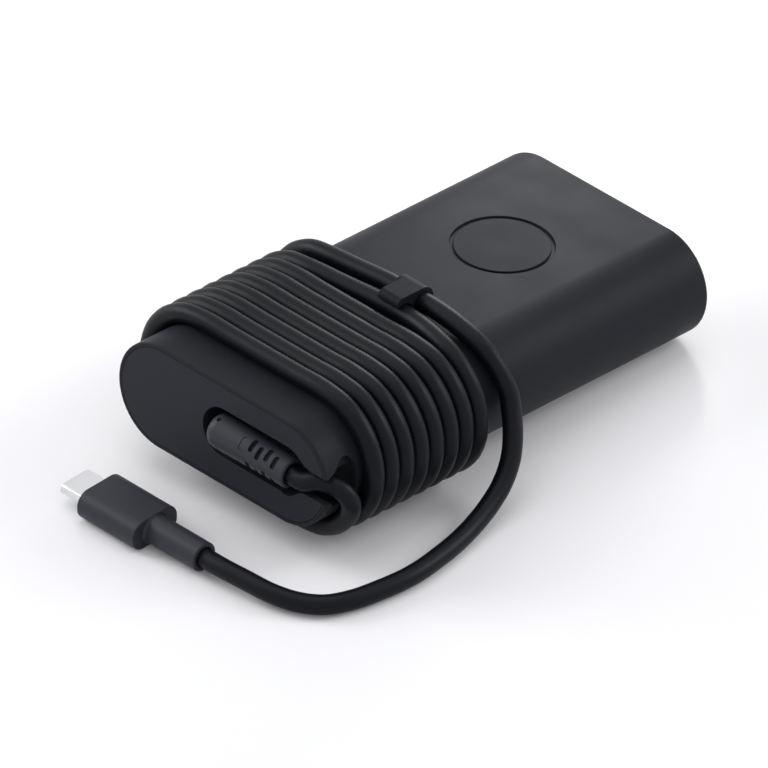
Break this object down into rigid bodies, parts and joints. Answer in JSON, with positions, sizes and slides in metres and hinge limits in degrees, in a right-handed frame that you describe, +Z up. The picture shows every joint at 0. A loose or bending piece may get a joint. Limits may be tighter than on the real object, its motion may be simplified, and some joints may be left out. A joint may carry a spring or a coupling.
{
  "type": "laptop power adapter",
  "caption": "Slim round-sided laptop power adapter with its output cord wound round the case, a hinged cord clip, a slotted strain relief, a three-pole mains inlet and a USB-C plug.",
  "frame": {"origin": "on the surface that the adapter stands on, below the middle of the case's box (cord, clip, boot and plug left out)", "axes": "+Y from the cord end to the mains end, +Z up, +X to the side where the cord leaves the pocket; the case is tilted about X because it stands on its rear bottom edge and on the wound cord"},
  "size_m": [0.0779, 0.1302, 0.0339],
  "materials": {
    "case_plastic": "matte",
    "cap_plastic": "matte",
    "badge_plastic": "satin",
    "inlet_plastic": "matte",
    "pin_metal": "nickel plated",
    "lead_insulation": "satin",
    "circuit_board": "satin",
    "insulation_film": "satin",
    "spreader_metal": "satin",
    "pad_silicone": "matte",
    "black_epoxy": "matte",
    "filter_yellow": "satin",
    "ferrite": "matte",
    "copper_wire": "enamelled",
    "bobbin_plastic": "satin",
    "capacitor_can": "sleeved",
    "heatsink_metal": "satin",
    "boot_rubber": "satin",
    "cord_jacket": "satin",
    "clip_rubber": "satin",
    "plug_plastic": "satin",
    "shell_metal": "nickel plated",
    "contact_gold": "plated"
  },
  "bodies": {
    "adapter": {"case_sleeve": "case_plastic", "front_cap": "cap_plastic", "rear_cap": "cap_plastic", "badge_disc": "badge_plastic", "inlet_body": "inlet_plastic", "inlet_pins": "pin_metal", "inlet_leads": "lead_insulation", "main_board": "circuit_board", "insulation_sheet": "insulation_film", "lower_heat_spreader": "spreader_metal", "upper_heat_spreader": "spreader_metal", "thermal_pad": "pad_silicone", "fuse": "black_epoxy", "x_capacitor": "filter_yellow", "choke_core": "ferrite", "choke_windings": "copper_wire", "bridge_rectifier": "black_epoxy", "bulk_capacitor": "capacitor_can", "primary_switch": "black_epoxy", "switch_heatsink": "heatsink_metal", "transformer_core": "ferrite", "transformer_bobbin": "bobbin_plastic", "transformer_winding": "copper_wire", "output_rectifier": "black_epoxy", "output_capacitors": "capacitor_can", "control_board": "circuit_board", "control_chip": "black_epoxy", "output_leads": "lead_insulation", "cord_boot": "boot_rubber", "cord_coil": "cord_jacket", "cord_lead": "cord_jacket", "plug_overmould": "plug_plastic", "plug_sleeve": "plug_plastic", "plug_shell": "shell_metal", "plug_insert": "black_epoxy", "plug_contacts": "contact_gold", "plug_board": "circuit_board"},
    "clip": {"cord_clip": "clip_rubber"}
  },
  "joints": [
    {"name": "clip_hinge", "type": "hinge", "parent": "adapter", "child": "clip", "pos_m": [0.0044, -0.0055, 0.03042], "axis": [-1, 0, 0], "range_deg": [0, 150]}
  ]
}
